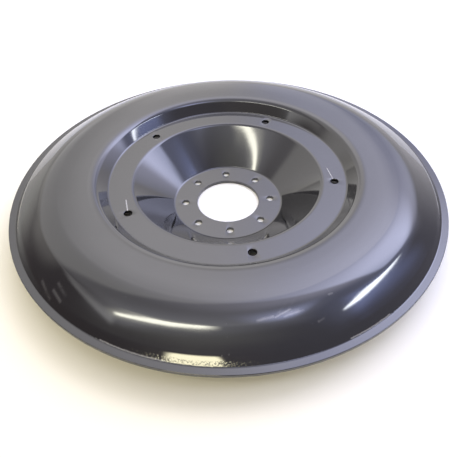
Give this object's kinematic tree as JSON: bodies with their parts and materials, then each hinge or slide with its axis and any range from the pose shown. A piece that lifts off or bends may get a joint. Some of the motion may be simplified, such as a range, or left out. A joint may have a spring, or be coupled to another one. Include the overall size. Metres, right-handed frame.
{
  "type": "mower disc",
  "caption": "Round pressed steel gliding disc for a drum mower: raised crown, stepped dish, sunken hub flange with a bore and bolt holes, and a flat outer lip.",
  "frame": {"origin": "centre of the bore, on the underside of the hub flange, which is the disc's lowest face", "axes": "+Z along the disc's axis towards the side that glides over the ground; a bolt hole lies on +X"},
  "size_m": [0.65, 0.65, 0.0745],
  "materials": {
    "black_paint": "glossy black enamel over pressed steel, with a light orange peel"
  },
  "bodies": {
    "root": {"mower_disc": "black_paint"}
  },
  "joints": []
}
